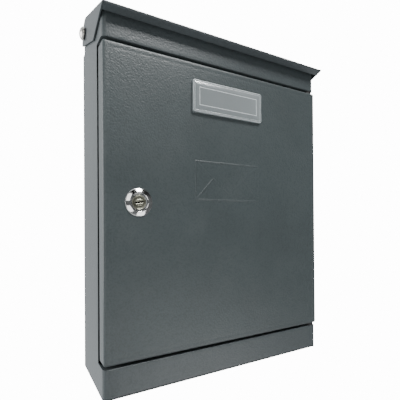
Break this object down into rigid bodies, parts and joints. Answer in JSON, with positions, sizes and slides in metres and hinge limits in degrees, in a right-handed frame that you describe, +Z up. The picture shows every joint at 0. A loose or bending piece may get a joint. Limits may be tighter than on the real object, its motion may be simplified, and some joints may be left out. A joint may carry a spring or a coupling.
{
  "type": "wall mounted mailbox",
  "caption": "Wall mailbox of folded sheet steel with a sloping lift-up rain lid, a side-hung front door with a cam lock, and a clear name window.",
  "frame": {"origin": "middle of the four wall-fixing holes, on the back panel's rear face", "axes": "+Z up, +X to the right across the front, +Y into the wall; the door faces -Y"},
  "size_m": [0.2326, 0.0825, 0.3121],
  "materials": {
    "cabinet_coat": "textured semi-gloss powder coat, anthracite",
    "door_coat": "textured semi-gloss powder coat, anthracite",
    "lid_coat": "textured semi-gloss powder coat, anthracite",
    "zinc": "bright zinc plate",
    "lock_chrome": "polished chrome plate",
    "plug_metal": "nickel plate worn over brass",
    "washer_plastic": "black nylon",
    "clear_plastic": "clear moulded plastic",
    "card_paper": "plain grey card"
  },
  "bodies": {
    "cabinet": {"cabinet_shell": "cabinet_coat", "back_panel": "cabinet_coat", "bottom_panel": "cabinet_coat", "lid_pivot_screw_left": "zinc", "lid_pivot_screw_right": "zinc", "lid_pivot_washer_left": "washer_plastic", "lid_pivot_washer_right": "washer_plastic", "lid_pivot_nut_left": "zinc", "lid_pivot_nut_right": "zinc"},
    "lid": {"lid": "lid_coat"},
    "door": {"door_panel": "door_coat", "door_hinge_pin_upper": "zinc", "door_hinge_pin_lower": "zinc", "door_hinge_washer_upper": "washer_plastic", "door_hinge_washer_lower": "washer_plastic", "lock_housing": "lock_chrome", "lock_nut": "zinc", "name_window": "clear_plastic", "name_card": "card_paper"},
    "lock_core": {"lock_plug": "plug_metal", "lock_cam": "zinc", "cam_washer": "zinc", "cam_screw": "zinc"}
  },
  "joints": [
    {"name": "door_swing", "type": "hinge", "parent": "cabinet", "child": "door", "pos_m": [0.1047, -0.0687, 0], "axis": [0, 0, 1], "range_deg": [0, 105]},
    {"name": "lid_lift", "type": "hinge", "parent": "cabinet", "child": "lid", "pos_m": [0, -0.0158, 0.14919], "axis": [-1, 0, 0], "range_deg": [0, 68]},
    {"name": "lock_turn", "type": "hinge", "parent": "door", "child": "lock_core", "pos_m": [-0.083, -0.0747, -0.0023], "axis": [0, 1, 0], "range_deg": [0, 90]}
  ]
}
